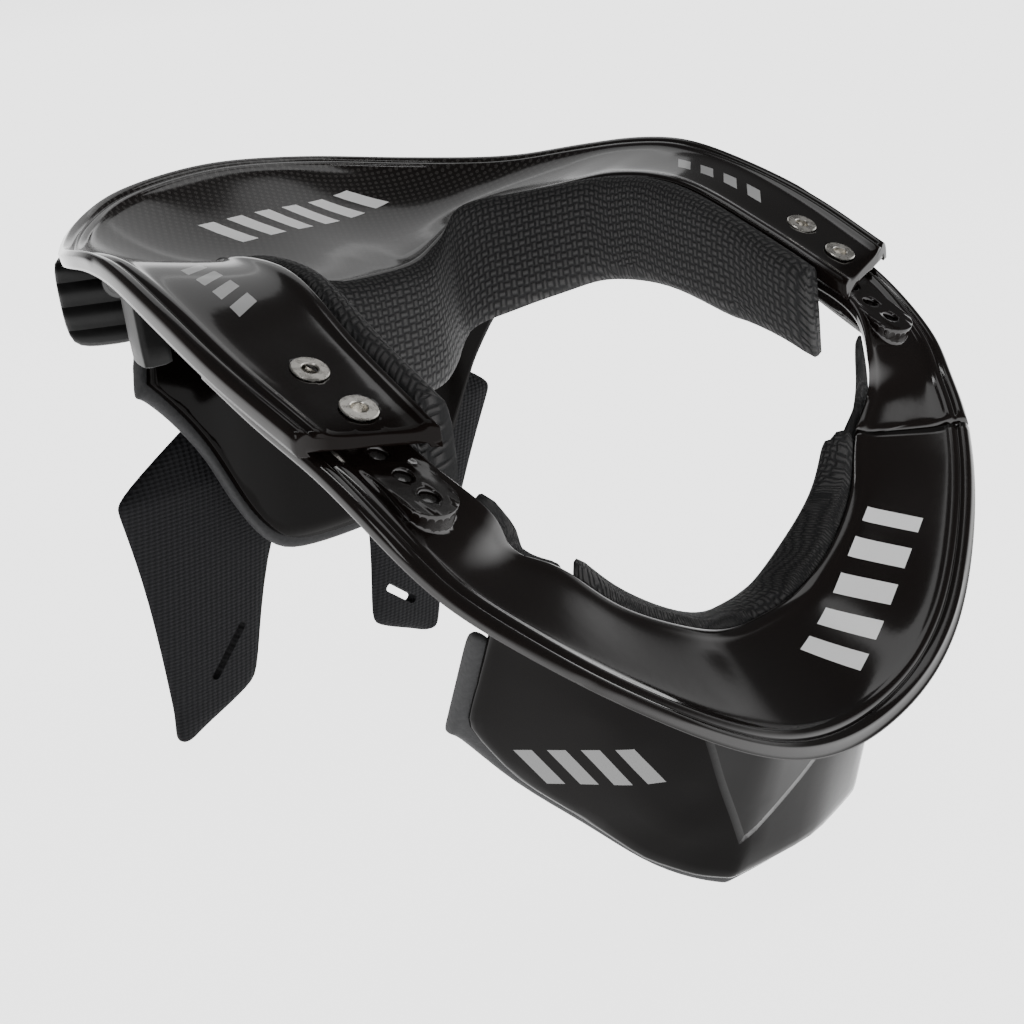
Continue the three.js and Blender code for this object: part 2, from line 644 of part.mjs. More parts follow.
// The rounded block at a rear corner: it fills the roof and comes out past the rim below the skirt
function cornerBlock(block, side) {
    return loft(blockPlaces(block, side).map((along) => {
        const roofOuter = collar.seat(along, block.outer);
        const roofInner = collar.seat(along, block.inner);
        const { outer, across } = collar.frame(along);
        const rim = outer.addScaledVector(across.setZ(0).normalize(), -BLOCK_PROUD);
        return [
            roofOuter,
            roofInner,
            roofInner.clone().setZ(HOUSING_FOOT),
            rim.clone().setZ(HOUSING_FOOT),
            rim.clone().setZ(collar.hem(along)),
        ];
    }));
}

const glossBlack = { color: 0x0e0b0a, roughness: 0.12, metalness: 0 };
const matteBlack = { color: 0x151515, roughness: 0.75, metalness: 0 };
const foamBlack = { color: 0x101011, roughness: 0.9, metalness: 0 };
const fabricBlack = { color: 0x131314, roughness: 0.95, metalness: 0 };
const stainless = { color: 0xbdbab4, roughness: 0.3, metalness: 1 };

const neckBrace = new THREE.Group();

function addPiece(name, geometry, finish) {
    const mesh = new THREE.Mesh(geometry, new THREE.MeshStandardMaterial(finish));
    mesh.name = name;
    neckBrace.add(mesh);
}

addPiece('rear_collar', collarSolid(), glossBlack);
addPiece('front_frame', withAdjuster(shellSolid(front, framePlaces), arms.right), glossBlack);
addPiece('gate_arm', withAdjuster(shellSolid(front, gatePlaces), arms.left), glossBlack);

// The rear pad grows again towards its tips, and stops short of the collar's
const rearPadHeight = (along) => {
    const toTip = THREE.MathUtils.smoothstep(Math.abs(along - 0.5), 0.41, 0.47);
    return fade(REAR_PAD_HEIGHT, ARM_PAD_HEIGHT)(along) + toTip * (TIP_PAD_HEIGHT - ARM_PAD_HEIGHT);
};
const tipShort = STATION_STEP * TIP_PAD_SHORT / STATION_LENGTH;
const shortPlaces = collarPlaces.filter((along) => along > tipShort && along < 1 - tipShort);
const rearPadPlaces = [tipShort, ...shortPlaces, 1 - tipShort];
const rearPadProud = fade(PAD_PROUD, -ARM_PAD_DROP);
const even = (size) => () => size;
const rearPad = padSolid(collar, rearPadPlaces, even(REAR_PAD_THICKNESS), rearPadProud, rearPadHeight);
addPiece('rear_pad', rearPad, foamBlack);

const fromFrontMiddle = (along) => Math.abs(along - 0.5);
const isFrontPad = (along) => fromFrontMiddle(along) <= SEAM_PLACE - 0.5;
const isSidePad = (along) => !isFrontPad(along) && fromFrontMiddle(along) < LAP_TIP_PLACE - 0.5 - PAD_START;
const frontPadPlaces = framePlaces.filter(isFrontPad);
const frontPadThickness = (along) => {
    const toSeam = THREE.MathUtils.smoothstep(fromFrontMiddle(along) / (SEAM_PLACE - 0.5), 0.4, 1);
    return lerp(FRONT_PAD_THICKNESS, SEAM_PAD_THICKNESS, toSeam);
};
const frontPadSizes = [frontPadThickness, even(PAD_PROUD), even(FRONT_PAD_HEIGHT)];
const frontPad = padSolid(front, frontPadPlaces, ...frontPadSizes);
addPiece('front_pad', frontPad, foamBlack);
for (const [name, places] of [['right', framePlaces], ['left', gatePlaces]]) {
    const padPlaces = places.filter(isSidePad);
    const sidePadSizes = [even(SIDE_PAD_THICKNESS), even(-SIDE_PAD_DROP), even(SIDE_PAD_HEIGHT)];
    const sidePad = padSolid(front, padPlaces, ...sidePadSizes);
    addPiece(`side_pad_${name}`, sidePad, foamBlack);
}

addPiece('chest_plate', plateSolid(chestRows, 0, PLATE_WALL, 0, 1), glossBlack);
const padNear = PLATE_WALL + CLEARANCE;
const chestPadBack = padNear + CHEST_PAD_THICKNESS;
const chestPad = plateSolid(withRim(chestRows), chestPadBack, padNear, PAD_FOOT, CHEST_PAD_TOP);
addPiece('chest_pad', chestPad, foamBlack);
addPiece('back_plate', plateSolid(backRows, 0, PLATE_WALL, 0, 1), glossBlack);
const backPad = plateSolid(withRim(backRows), padNear + BACK_PAD_THICKNESS, padNear, PAD_FOOT, 1);
addPiece('back_pad', backPad, foamBlack);

for (const [name, side] of [['right', -1], ['left', 1]]) {
    addPiece(`back_flap_${name}`, flapSolid(side), fabricBlack);
    addPiece(`side_housing_${name}`, underBlock(SIDE_HOUSING, side), matteBlack);
    addPiece(`corner_block_${name}`, cornerBlock(CORNER_BLOCK, side), matteBlack);
    const arm = arms[name];
    arm.screws.forEach((point, i) => {
        addPiece(`screw_${name}_${i + 1}`, screwSolid(point, arm.normal), stainless);
    });
}
addPiece('rear_bracket', underBlock(REAR_BRACKET, 1), matteBlack);

// The origin is the middle of the whole brace, at the level it stands on
const whole = new THREE.Box3().setFromObject(neckBrace);
const middle = whole.getCenter(new THREE.Vector3());
neckBrace.position.set(-middle.x, -middle.y, -whole.min.z);

export default neckBrace;
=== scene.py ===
import math

import bmesh
import bpy
import numpy as np
from mathutils import Matrix, Vector


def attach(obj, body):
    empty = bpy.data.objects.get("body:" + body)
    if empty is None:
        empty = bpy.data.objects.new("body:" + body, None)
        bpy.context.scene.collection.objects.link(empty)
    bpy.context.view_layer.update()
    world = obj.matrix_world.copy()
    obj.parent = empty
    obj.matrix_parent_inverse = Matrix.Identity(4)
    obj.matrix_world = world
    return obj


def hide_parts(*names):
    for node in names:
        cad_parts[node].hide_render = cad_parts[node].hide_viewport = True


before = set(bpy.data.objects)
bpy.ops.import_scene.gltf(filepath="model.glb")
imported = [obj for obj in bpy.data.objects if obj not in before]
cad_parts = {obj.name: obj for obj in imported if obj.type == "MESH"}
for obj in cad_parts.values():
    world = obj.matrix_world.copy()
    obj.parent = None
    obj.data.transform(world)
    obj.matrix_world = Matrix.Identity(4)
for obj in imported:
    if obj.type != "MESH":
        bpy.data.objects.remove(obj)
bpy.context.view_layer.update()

# The camera stands ahead of the brace on the wearer's right, a little above it and rolled to one side.
CAMERA_PLACE = (-0.3145, -0.355, 0.239)
CAMERA_LENS = 52.73
IMAGE_RIGHT = Vector((0.7117, -0.6915, -0.1239))
IMAGE_UP = Vector((0.2971, 0.1364, 0.9451))
TOWARDS_CAMERA = Vector((-0.6366, -0.7094, 0.3025))

camera_data = bpy.data.cameras.new("camera")
camera_data.sensor_width = 36.0
camera_data.lens = CAMERA_LENS
camera_data.clip_start = 0.01
camera_data.clip_end = 20.0
camera = bpy.data.objects.new("camera", camera_data)
camera_turn = Matrix((IMAGE_RIGHT, IMAGE_UP, TOWARDS_CAMERA)).transposed().to_4x4()
camera.matrix_world = Matrix.Translation(CAMERA_PLACE) @ camera_turn
bpy.context.collection.objects.link(camera)
bpy.context.scene.camera = camera

# The studio: a pale floor without an edge in view, a pale surround, and soft boxes overhead and at the sides.
FLOOR_SIZE = 9.0
FLOOR_GREY = 0.45
FLOOR_GLOW = 2.9

floor_mesh = bpy.data.meshes.new("studio_floor")
bm = bmesh.new()
bmesh.ops.create_grid(bm, x_segments=1, y_segments=1, size=FLOOR_SIZE)
bm.to_mesh(floor_mesh)
bm.free()
floor = bpy.data.objects.new("studio_floor", floor_mesh)
bpy.context.collection.objects.link(floor)
floor_paint = bpy.data.materials.new("floor_paint")
floor_paint.use_nodes = True
floor_shader = floor_paint.node_tree.nodes["Principled BSDF"]
floor_shader.inputs["Base Color"].default_value = (FLOOR_GREY, FLOOR_GREY, FLOOR_GREY, 1)
floor_shader.inputs["Roughness"].default_value = 0.9
floor_shader.inputs["Specular IOR Level"].default_value = 0.0
floor_shader.inputs["Emission Color"].default_value = (1, 1, 1, 1)
floor_shader.inputs["Emission Strength"].default_value = FLOOR_GLOW
floor_mesh.materials.append(floor_paint)

# The surround is bright at the horizon and dark overhead. Each height is a share of the way up.
HORIZON = {"height": 0.03, "strength": 3.0}
OVERHEAD = {"height": 0.32, "strength": 0.12}

surround = bpy.data.worlds.new("surround")
bpy.context.scene.world = surround
surround.use_nodes = True
surround_tree = surround.node_tree
direction = surround_tree.nodes.new("ShaderNodeTexCoord")
heights = surround_tree.nodes.new("ShaderNodeSeparateXYZ")
dimming = surround_tree.nodes.new("ShaderNodeMapRange")
surround_tree.links.new(direction.outputs["Generated"], heights.inputs[0])
surround_tree.links.new(heights.outputs[2], dimming.inputs[0])
fading = (HORIZON["height"], OVERHEAD["height"], HORIZON["strength"], OVERHEAD["strength"])
for socket, value in enumerate(fading, start=1):
    dimming.inputs[socket].default_value = value
surround_tree.links.new(dimming.outputs[0], surround_tree.nodes["Background"].inputs["Strength"])
surround_tree.nodes["Background"].inputs["Color"].default_value = (1, 1, 1, 1)

# Each soft box aims at a height on the upright through the middle of the brace.
SOFT_BOXES = [
    {"name": "box_front", "place": (0.5, -0.24, 1.2), "aim": 0.1, "size": (0.8, 0.6), "watts": 2.4},
    {"name": "box_rear", "place": (0.6, 0.95, 0.62), "aim": 0.15, "size": (1.1, 0.45), "watts": 1.0},
    {"name": "box_high", "place": (0.55, 0.75, 1.0), "aim": 0.15, "size": (0.8, 0.5), "watts": 0.9},
    {"name": "box_near", "place": (-0.9, -0.7, 0.9), "aim": 0.1, "size": (0.3, 0.5), "watts": 1.6},
    {"name": "strip_over", "place": (-0.2, -0.35, 1.3), "aim": 0.1, "size": (0.6, 0.07), "watts": 1.2},
]
for row in SOFT_BOXES:
    lamp_data = bpy.data.lights.new(row["name"], "AREA")
    lamp_data.shape = "RECTANGLE"
    lamp_data.size, lamp_data.size_y = row["size"]
    lamp_data.energy = row["watts"]
    lamp = bpy.data.objects.new(row["name"], lamp_data)
    lamp.location = row["place"]
    lamp.rotation_mode = "QUATERNION"
    aim = Vector((0, 0, row["aim"])) - Vector(row["place"])
    lamp.rotation_quaternion = aim.to_track_quat("-Z", "Y")
    bpy.context.collection.objects.link(lamp)


# The rear collar is one glossy black moulding: a dished table behind the neck and two arms that come forward.
# A double rib runs round its rim. Small dots and slanted bars are printed on it.
BAR_SLANT = 0.6
BAR_SHARE = 0.55
BAR_DEPTH = 0.06
BAR_MIN_UP = 0.2


class Finish:
    """A material and its nodes, with short calls for the steps that these finishes share."""

    def __init__(self, name):
        self.material = bpy.data.materials.new(name)
        self.material.use_nodes = True
        self.tree = self.material.node_tree
        self.shader = self.tree.nodes["Principled BSDF"]

    def set(self, **sockets):
        for name, value in sockets.items():
            self.shader.inputs[name.replace("_", " ")].default_value = value

    def node(self, kind, inputs=None, **settings):
        node = self.tree.nodes.new(kind)
        for key, value in settings.items():
            setattr(node, key, value)
        for key, value in (inputs or {}).items():
            if isinstance(value, bpy.types.NodeSocket):
                self.tree.links.new(value, node.inputs[key])
            else:
                node.inputs[key].default_value = value
        return node

    def place(self, turn=(0, 0, 0), shift=(0, 0, 0)):
        source = self.node("ShaderNodeTexCoord").outputs["Object"]
        sockets = {"Vector": source, "Rotation": turn, "Location": shift}
        return self.node("ShaderNodeMapping", sockets).outputs[0]

    def math(self, operation, a, b=0.0):
        return self.node("ShaderNodeMath", {0: a, 1: b}, operation=operation).outputs[0]

    def noise(self, vector, scale, detail=3.0):
        sockets = {"Vector": vector, "Scale": scale, "Detail": detail}
        return self.node("ShaderNodeTexNoise", sockets).outputs["Fac"]

    def bars(self, centre, turn, length, width, pitch):
        """A mask of slanted bars in a row, laid on from above, with its middle and turn given."""
        source = self.node("ShaderNodeTexCoord").outputs["Object"]
        sockets = {"Vector": source, "Location": centre, "Rotation": turn}
        local = self.node("ShaderNodeMapping", sockets, vector_type="TEXTURE").outputs[0]
        parts = self.node("ShaderNodeSeparateXYZ", {0: local}).outputs
        row = self.math("ADD", parts[0], self.math("MULTIPLY", parts[1], BAR_SLANT))
        step = self.math("FRACT", self.math("DIVIDE", row, pitch))
        mask = self.math("LESS_THAN", step, BAR_SHARE)
        for value, reach in ((row, length), (parts[1], width), (parts[2], BAR_DEPTH)):
            inside = self.math("LESS_THAN", self.math("ABSOLUTE", value), reach / 2)
            mask = self.math("MULTIPLY", mask, inside)
        normal = self.node("ShaderNodeTexCoord").outputs["Normal"]
        sockets = {"Vector": normal, "Rotation": turn}
        facing = self.node("ShaderNodeMapping", sockets, vector_type="TEXTURE").outputs[0]
        upward = self.node("ShaderNodeSeparateXYZ", {0: facing}).outputs[2]
        return self.math("MULTIPLY", mask, self.math("GREATER_THAN", upward, BAR_MIN_UP))

    def span(self, value, low, high, to_low=0.0, to_high=1.0):
        sockets = {0: value, 1: low, 2: high, 3: to_low, 4: to_high}
        return self.node("ShaderNodeMapRange", sockets).outputs[0]

    def mix(self, share, a, b):
        sockets = {0: share, 6: a, 7: b}
        return self.node("ShaderNodeMix", sockets, data_type="RGBA").outputs[2]

    def into(self, socket, value):
        self.tree.links.new(value, self.shader.inputs[socket])

    def relief(self, height, distance, strength=1.0, under=None):
        sockets = {"Height": height, "Distance": distance, "Strength": strength}
        if under is not None:
            sockets["Normal"] = under
        return self.node("ShaderNodeBump", sockets).outputs[0]


DOTS_PER_METRE = 420.0
DOT_TURN = 0.5
DOTS_START = 0.03
DOTS_FULL = 0.055
DOT_COLOUR = (0.045, 0.042, 0.04, 1)


def gloss_black(name, shine=0.5, shade_depth=1.0, dots=0.0, marks=()):
    """Black gloss plastic. A depth below 1 darkens its colour as a painted shade, and dots is the strength of
    the printed dots.
    """
    finish = Finish(name)
    finish.set(IOR=1.5, Specular_IOR_Level=shine)
    place = finish.place()
    finish.into("Roughness", finish.span(finish.noise(place, 28.0), 0.3, 0.75, 0.09, 0.17))
    tint = finish.span(finish.noise(place, 9.0), 0.35, 0.7)
    dark = (0.0045 * shade_depth, 0.0032 * shade_depth, 0.0028 * shade_depth, 1)
    light = (0.0065 * shade_depth, 0.0045 * shade_depth, 0.004 * shade_depth, 1)
    black = finish.mix(tint, dark, light)
    if dots > 0:
        sockets = {"Vector": finish.place(turn=(0, 0, DOT_TURN)), "Scale": DOTS_PER_METRE, "Randomness": 0.0}
        cell = finish.node("ShaderNodeTexVoronoi", sockets, voronoi_dimensions="2D").outputs["Distance"]
        to_rear = finish.node("ShaderNodeSeparateXYZ", {0: place}).outputs[1]
        behind = finish.span(to_rear, DOTS_START, DOTS_FULL)
        dot = finish.math("MULTIPLY", finish.span(cell, 0.28, 0.34, 1.0, 0.0), behind)
        black = finish.mix(finish.math("MULTIPLY", dot, dots), black, DOT_COLOUR)
    for row in marks:
        mask = finish.bars(row["centre"], row["turn"], row["length"], row["width"], row["pitch"])
        black = finish.mix(mask, black, (row["grey"], row["grey"], row["grey"], 1))
    finish.into("Base Color", black)
    orange_peel = finish.noise(finish.place(), 240.0, 2.0)
    finish.into("Normal", finish.relief(orange_peel, 0.00004, 0.35))
    return finish


WELD = 0.00003
FLAT_WITHIN = math.radians(35)
SQUARE_WITHIN = math.radians(100)


def moulding(node, name, finish, level, crease_from=50.0, crease=1.0):
    """A finished copy of a hard CAD piece: its triangles merged into four-sided faces and rounded."""
    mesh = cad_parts[node].data.copy()
    mesh.name = name
    bm = bmesh.new()
    bm.from_mesh(mesh)
    bmesh.ops.remove_doubles(bm, verts=bm.verts, dist=WELD)
    bmesh.ops.join_triangles(
        bm, faces=bm.faces, angle_face_threshold=FLAT_WITHIN, angle_shape_threshold=SQUARE_WITHIN
    )
    creases = bm.edges.layers.float.get("crease_edge") or bm.edges.layers.float.new("crease_edge")
    for edge in bm.edges:
        if len(edge.link_faces) == 2 and edge.calc_face_angle() > math.radians(crease_from):
            edge[creases] = crease
    for face in bm.faces:
        face.smooth = True
    mesh.clear_geometry()
    bm.to_mesh(mesh)
    bm.free()
    mesh.materials.clear()
    mesh.materials.append(finish.material)
    piece = bpy.data.objects.new(name, mesh)
    bpy.context.collection.objects.link(piece)
    rounding = piece.modifiers.new("rounding", "SUBSURF")
    rounding.levels = rounding.render_levels = level
    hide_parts(node)
    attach(piece, "root")
    return piece


COLLAR_MARKS = [
    {"centre": (0.015, 0.105, 0.19), "turn": (0, 0, 0), "length": 0.0731, "width": 0.014, "pitch": 0.0122,
     "grey": 0.85},
    {"centre": (-0.1, -0.014, 0.185), "turn": (0, 0, -1.69), "length": 0.034, "width": 0.008, "pitch": 0.0086,
     "grey": 0.4},
    {"centre": (0.102, -0.022, 0.182), "turn": (0, 0, -1.45), "length": 0.036, "width": 0.008, "pitch": 0.009,
     "grey": 0.4},
]
# The shine fades out over the last few millimetres of the arms' tips: a painted shade, as the tips end in
# shade.
TIP_START = -0.067
TIP_END = -0.073
TIP_SHADE_SHINE = 0.06
COLLAR_SHINE = 0.5
collar_gloss = gloss_black("collar_gloss", dots=0.6, marks=COLLAR_MARKS)
to_rear = collar_gloss.node("ShaderNodeSeparateXYZ", {0: collar_gloss.place()}).outputs[1]
shine = collar_gloss.span(to_rear, TIP_END, TIP_START, TIP_SHADE_SHINE, COLLAR_SHINE)
collar_gloss.into("Specular IOR Level", shine)
collar = moulding("rear_collar", "collar_moulding", collar_gloss, level=2)

# The front frame and its gate arm are glossy mouldings like the collar. Their ends run under the collar's
# arms, each with a raised boss and a row of holes for the screws.
FRAME_MARKS = [
    {"centre": (0.03, -0.118, 0.07), "turn": (0, 0, 0.2), "length": 0.0585, "width": 0.014, "pitch": 0.0122,
     "grey": 0.8},
]
frame_gloss = gloss_black("frame_gloss", marks=FRAME_MARKS)
for node, name in [("front_frame", "frame_moulding"), ("gate_arm", "gate_moulding")]:
    piece = moulding(node, name, frame_gloss, level=2)

# The chest plate and the back plate are thin glossy mouldings that hang under the frame and the collar.
# The chest plate has a facet in its middle, with two slanted edges that meet in a low corner.
PLATE_MARKS = [
    {"centre": (-0.057, -0.089, 0.05), "turn": (math.pi / 2, 0, -0.75), "length": 0.036, "width": 0.013,
     "pitch": 0.009, "grey": 0.16},
]
# The plates' gloss is a darker and duller copy of the collar's gloss: painted shade on the plates.
PLATE_SHADE_SHINE = 0.05
PLATE_SHADE_DEPTH = 0.3
FACET_SHINE = 0.16
FACET_CORNER = {"across": -0.0298, "up": 0.0181}
FACET_EDGES = [{"across": 0.949, "up": 0.313}, {"across": -0.587, "up": 0.81}]
FACET_BLUR = 0.0009
FACET_HEIGHT = 0.0022
plate_gloss = gloss_black("plate_gloss", shine=PLATE_SHADE_SHINE, shade_depth=PLATE_SHADE_DEPTH)
chest_gloss = gloss_black("chest_gloss", shine=PLATE_SHADE_SHINE, shade_depth=PLATE_SHADE_DEPTH, marks=PLATE_MARKS)
from_corner = chest_gloss.place(shift=(-FACET_CORNER["across"], 0, -FACET_CORNER["up"]))
parts = chest_gloss.node("ShaderNodeSeparateXYZ", {0: from_corner}).outputs
depths = []
for edge in FACET_EDGES:
    across = chest_gloss.math("MULTIPLY", parts[0], edge["across"])
    up = chest_gloss.math("MULTIPLY", parts[2], edge["up"])
    depths.append(chest_gloss.math("ADD", across, up))
inside = chest_gloss.span(chest_gloss.math("MINIMUM", *depths), -FACET_BLUR, FACET_BLUR)
peel = chest_gloss.shader.inputs["Normal"].links[0].from_socket
chest_gloss.into("Normal", chest_gloss.relief(inside, FACET_HEIGHT, 1.0, peel))
chest_gloss.into("Specular IOR Level", chest_gloss.span(inside, 0.0, 1.0, PLATE_SHADE_SHINE, FACET_SHINE))
chest_plate = moulding("chest_plate", "chest_shell", chest_gloss, level=2, crease_from=9.0, crease=0.35)
back_plate = moulding("back_plate", "back_shell", plate_gloss, level=2)

# The neck pads are strips of black foam, hot-pressed with a basket weave and glued inside the mouldings.
# Each strip's map runs along the strip, in millimetres, and inward over its top and down its face.
MM = 1000
MAP_STEPS = 60
NECK_MIDDLE = (0.0, -19.0)
WEAVE_PITCH = 2.6


def lay_map(mesh, opening):
    """The map of a strip round the neck. The opening is -1 where its ring is open in front, else 1."""
    where = np.array([vertex.co for vertex in mesh.vertices]) * MM
    out = where[:, :2] - NECK_MIDDLE
    turn = np.arctan2(out[:, 0], -opening * out[:, 1])
    reach = np.linalg.norm(out, axis=1)
    edges = np.linspace(turn.min(), turn.max(), MAP_STEPS + 1)
    step = np.clip(np.searchsorted(edges, turn) - 1, 0, MAP_STEPS - 1)
    used = np.unique(step)
    middles = (edges[used] + edges[used + 1]) / 2
    outer = np.interp(turn, middles, [reach[step == number].max() for number in used])
    top = np.interp(turn, middles, [where[step == number, 2].max() for number in used])
    line = np.array([where[step == number].mean(axis=0) for number in used])
    lengths = np.cumsum(np.linalg.norm(np.diff(line, axis=0), axis=1))
    along = np.interp(turn, middles, np.concatenate([[0], lengths]))
    values = np.stack([along, outer - reach + top - where[:, 2]], axis=1)
    layer = mesh.uv_layers.new(name="strip")
    for loop in mesh.loops:
        layer.data[loop.index].uv = values[loop.vertex_index]


def strand(finish, from_middle, from_ends):
    """The height of one strand of the weave, rounded across and lower at its ends."""
    rounded = finish.span(from_middle, 0.1, 0.36, 1.0, 0.0)
    lowered = finish.span(from_ends, 0.34, 0.5, 1.0, 0.1)
    return finish.math("MULTIPLY", rounded, lowered)


def basket_foam(name):
    finish = Finish(name)
    finish.set(Roughness=0.8, Specular_IOR_Level=0.35)
    strip = finish.node("ShaderNodeUVMap", uv_map="strip").outputs[0]
    parts = finish.node("ShaderNodeSeparateXYZ", {0: strip}).outputs
    u = finish.math("DIVIDE", parts[0], WEAVE_PITCH)
    v = finish.math("DIVIDE", parts[1], WEAVE_PITCH)
    cells = finish.math("ADD", finish.math("FLOOR", u), finish.math("FLOOR", v))
    crossing = finish.math("MULTIPLY", finish.math("FRACT", finish.math("MULTIPLY", cells, 0.5)), 2.0)
    from_u = finish.math("ABSOLUTE", finish.math("SUBTRACT", finish.math("FRACT", u), 0.5))
    from_v = finish.math("ABSOLUTE", finish.math("SUBTRACT", finish.math("FRACT", v), 0.5))
    standing = finish.math("MULTIPLY", crossing, strand(finish, from_u, from_v))
    lying = finish.math("MULTIPLY", finish.math("SUBTRACT", 1.0, crossing), strand(finish, from_v, from_u))
    strands = finish.math("ADD", standing, lying)
    grain = finish.noise(finish.place(), 900.0, 2.0)
    height = finish.math("ADD", strands, finish.math("MULTIPLY", grain, 0.25))
    finish.into("Normal", finish.relief(height, 0.0007, 0.9))
    # The strands' tops are lighter and the grooves between them darker: painted shade in the grooves of the
    # weave.
    finish.into("Base Color", finish.mix(strands, (0.004, 0.004, 0.0045, 1), (0.032, 0.031, 0.031, 1)))
    return finish


PADS = [
    {"node": "rear_pad", "name": "collar_foam", "opening": -1, "crease": 0.8},
    {"node": "front_pad", "name": "frame_foam", "opening": 1, "crease": 0.35},
    {"node": "side_pad_right", "name": "right_arm_foam", "opening": 1, "crease": 0.8},
    {"node": "side_pad_left", "name": "left_arm_foam", "opening": 1, "crease": 0.8},
]
weave = basket_foam("basket_weave_foam")
for row in PADS:
    pad = moulding(row["node"], row["name"], weave, level=1, crease=row["crease"])
    lay_map(pad.data, row["opening"])


# The foam behind the chest plate and the back plate is black foam with a pressed, rounded rim all round.
def pressed_foam(name):
    finish = Finish(name)
    finish.set(Roughness=0.75, Specular_IOR_Level=0.3)
    grain = finish.noise(finish.place(), 700.0, 3.0)
    finish.into("Base Color", finish.mix(grain, (0.007, 0.007, 0.0075, 1), (0.02, 0.02, 0.021, 1)))
    finish.into("Normal", finish.relief(grain, 0.0003, 0.6))
    return finish


rim_foam = pressed_foam("pressed_foam")
for node, name in [("chest_pad", "chest_foam"), ("back_pad", "back_foam")]:
    pad = moulding(node, name, rim_foam, level=2, crease=0.15)


# The two back flaps are foam covered in black ribbed knit, with rounded corners and a slot cut through each.
RIB_PITCH = 0.0022
STITCH_PITCH = 0.0015


def ribbed_knit(name):
    finish = Finish(name)
    finish.set(Roughness=0.92, Specular_IOR_Level=0.12)
    place = finish.place()
    parts = finish.node("ShaderNodeSeparateXYZ", {0: place})
    rib = finish.math("SINE", finish.math("MULTIPLY", parts.outputs[0], 2 * math.pi / RIB_PITCH))
    stitch = finish.math("SINE", finish.math("MULTIPLY", parts.outputs[2], 2 * math.pi / STITCH_PITCH))
    height = finish.math("ADD", finish.math("MULTIPLY", rib, 0.5), finish.math("MULTIPLY", stitch, 0.3))
    fuzz = finish.noise(place, 1500.0, 2.0)
    finish.into("Normal", finish.relief(finish.math("ADD", height, fuzz), 0.0004, 0.8))
    # The ribs and stitches are lighter on top and darker in the troughs between them: painted shade in the
    # troughs, with random tone from the fuzz.
    shade = finish.span(finish.math("ADD", height, finish.math("MULTIPLY", fuzz, 0.6)), -0.6, 1.1)
    finish.into("Base Color", finish.mix(shade, (0.004, 0.004, 0.0045, 1), (0.009, 0.009, 0.01, 1)))
    return finish


SLIT_WIDTH = 0.0036
SLIT_REACH = 0.08
SLIT_ROUNDING = SLIT_WIDTH * 0.45
SLITS = {
    "right": {"middle": (-0.0475, 0.11, 0.033), "turn": 0.6, "length": 0.024},
    "left": {"middle": (0.0384, 0.11, 0.025), "turn": -0.9, "length": 0.02},
}
knit = ribbed_knit("ribbed_knit")
for side in ("right", "left"):
    flap = moulding("back_flap_" + side, "flap_" + side, knit, level=2, crease=0.2)
    slit_data = bpy.data.meshes.new("slit")
    bm = bmesh.new()
    size = Matrix.Diagonal((SLIT_WIDTH, SLIT_REACH, SLITS[side]["length"], 1))
    bmesh.ops.create_cube(bm, size=1.0, matrix=size)
    upright = [edge for edge in bm.edges if abs(edge.verts[0].co.y - edge.verts[1].co.y) > SLIT_WIDTH]
    bmesh.ops.bevel(
        bm, geom=upright, offset=SLIT_ROUNDING, segments=4, profile=0.5, affect="EDGES", material=-1
    )
    bmesh.ops.rotate(bm, verts=bm.verts, matrix=Matrix.Rotation(SLITS[side]["turn"], 3, "Y"))
    bmesh.ops.translate(bm, verts=bm.verts, vec=SLITS[side]["middle"])
    bm.to_mesh(slit_data)
    bm.free()
    slit = bpy.data.objects.new("slit", slit_data)
    bpy.context.collection.objects.link(slit)
    cut = flap.modifiers.new("slit", "BOOLEAN")
    cut.operation = "DIFFERENCE"
    cut.object = slit
    finished = flap.evaluated_get(bpy.context.evaluated_depsgraph_get())
    flap.data = bpy.data.meshes.new_from_object(finished)
    flap.modifiers.clear()
    bpy.data.objects.remove(slit)


# The side housings and the rear bracket are plain matt mouldings under the collar.
def matt_black(name):
    finish = Finish(name)
    finish.set(Roughness=0.5, Specular_IOR_Level=0.15)
    grain = finish.noise(finish.place(), 500.0, 3.0)
    finish.into("Normal", finish.relief(grain, 0.00015, 0.5))
    finish.into("Base Color", finish.mix(grain, (0.002, 0.002, 0.002, 1), (0.005, 0.005, 0.005, 1)))
    return finish


housing_black = matt_black("housing_black")
for node in ("side_housing_right", "side_housing_left", "rear_bracket"):
    piece = moulding(node, node + "_shell", housing_black, level=2, crease=0.75)

# Each corner block is a matt moulding with a stack of rounded ridges on it. The ridges are the absolute sine
# of the height, at RIDGE_WAVE radians a metre.
RIDGE_WAVE = 400.0
RIDGE_HEIGHT = 0.0022
ribbed_black = matt_black("ribbed_black")
rib_heights = ribbed_black.node("ShaderNodeSeparateXYZ", {0: ribbed_black.place()}).outputs[2]
wave = ribbed_black.math("SINE", ribbed_black.math("MULTIPLY", rib_heights, RIDGE_WAVE))
ridges = ribbed_black.math("ABSOLUTE", wave)
under = ribbed_black.shader.inputs["Normal"].links[0].from_socket
ribbed_black.into("Normal", ribbed_black.relief(ridges, RIDGE_HEIGHT, 1.0, under))
for side in ("right", "left"):
    node = "corner_block_" + side
    piece = moulding(node, node + "_shell", ribbed_black, level=3, crease=0.35)


# The four screws are stainless countersunk screws with hexagon sockets, two through each arm.
def bright_steel(name):
    finish = Finish(name)
    finish.set(Base_Color=(0.62, 0.6, 0.56, 1), Metallic=1.0)
    smear = finish.noise(finish.place(), 400.0, 3.0)
    finish.into("Roughness", finish.span(smear, 0.3, 0.7, 0.18, 0.36))
    return finish


# A profile's points are across and up from the head's rim, in millimetres.
TURN_STEPS = 48
TURN_WELD = 0.000005
HEAD_PROUD = 0.0009
RIM_DEPTH = 0.0002
SEAT_MIN_UP = 0.6
SCREW_PROFILE = [
    (0, -1.8), (2.2, -1.8), (2.2, -0.25), (2.45, 0), (4.75, 0), (5.05, -0.25), (5.05, -0.5),
    (2.3, -2.9), (2.3, -14), (0, -14),
]


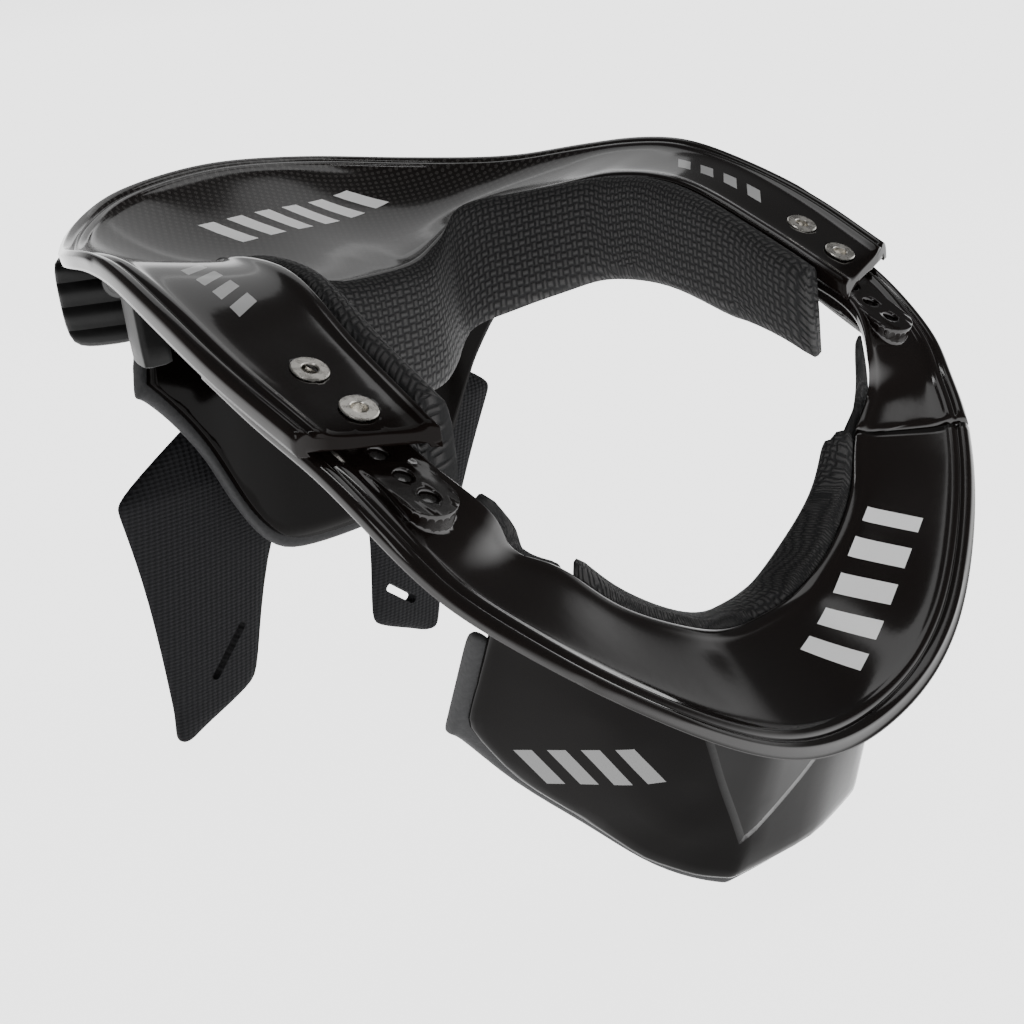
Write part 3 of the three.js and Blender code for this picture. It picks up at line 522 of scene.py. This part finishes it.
def turned(bm, profile, place, axis):
    """A round part from its profile in millimetres, stood at a place along an axis."""
    corners = [bm.verts.new((across / MM, 0, up / MM)) for across, up in profile]
    edges = [bm.edges.new(pair) for pair in zip(corners, corners[1:])]
    bmesh.ops.spin(
        bm,
        geom=corners + edges,
        cent=(0, 0, 0),
        axis=(0, 0, 1),
        angle=2 * math.pi,
        steps=TURN_STEPS,
        use_merge=True,
    )
    bmesh.ops.remove_doubles(bm, verts=bm.verts, dist=TURN_WELD)
    bmesh.ops.recalc_face_normals(bm, faces=bm.faces)
    stand = Vector((0, 0, 1)).rotation_difference(axis).to_matrix()
    bmesh.ops.rotate(bm, verts=bm.verts, matrix=stand)
    bmesh.ops.translate(bm, verts=bm.verts, vec=place)
    for face in bm.faces:
        face.smooth = False


steel = bright_steel("screw_steel")
for side in ("right", "left"):
    for number in ("1", "2"):
        name = "screw_" + side + "_" + number
        seat = bmesh.new()
        seat.from_mesh(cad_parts[name].data)
        bmesh.ops.dissolve_limit(seat, angle_limit=math.radians(1), verts=seat.verts, edges=seat.edges)
        upper = [face for face in seat.faces if face.normal.z > SEAT_MIN_UP]
        axis = max(upper, key=lambda face: face.calc_area()).normal.copy()
        top = max(vert.co.dot(axis) for vert in seat.verts)
        rim = [vert.co for vert in seat.verts if vert.co.dot(axis) > top - RIM_DEPTH]
        middle = sum(rim, Vector()) / len(rim)
        seat.free()
        screw_mesh = bpy.data.meshes.new(name + "_steel")
        bm = bmesh.new()
        turned(bm, SCREW_PROFILE, middle + axis * HEAD_PROUD, axis)
        bm.to_mesh(screw_mesh)
        bm.free()
        screw_mesh.materials.append(steel.material)
        screw = bpy.data.objects.new(name + "_steel", screw_mesh)
        bpy.context.collection.objects.link(screw)
        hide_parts(name)
        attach(screw, "root")

# A black socket bolt with a washer under its head goes into each corner block. It is set in the face that
# looks most forward and outward.
BOLT_RISE = 0.005
BOLT_PROFILE = [
    (0, 0.6), (1.6, 0.6), (1.6, 2.4), (1.8, 2.6), (3.1, 2.6), (3.4, 2.3), (3.4, 0.9), (4.9, 0.8), (5.2, 0.5),
    (5.2, -0.6), (0, -0.6),
]
bolt_black = matt_black("bolt_black")
bolt_black.set(Specular_IOR_Level=0.6, Roughness=0.3)
for side in ("right", "left"):
    block = bmesh.new()
    block.from_mesh(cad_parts["corner_block_" + side].data)
    bmesh.ops.dissolve_limit(block, angle_limit=math.radians(1), verts=block.verts, edges=block.edges)
    forward = Vector((-1 if side == "right" else 1, -1, 0))
    face = max(block.faces, key=lambda end: end.normal.dot(forward))
    place = face.calc_center_median() + Vector((0, 0, BOLT_RISE))
    axis = face.normal.copy()
    block.free()
    bolt_mesh = bpy.data.meshes.new("corner_bolt_" + side)
    bm = bmesh.new()
    turned(bm, BOLT_PROFILE, place, axis)
    bm.to_mesh(bolt_mesh)
    bm.free()
    bolt_mesh.materials.append(bolt_black.material)
    bolt = bpy.data.objects.new("corner_bolt_" + side, bolt_mesh)
    bpy.context.collection.objects.link(bolt)
    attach(bolt, "root")
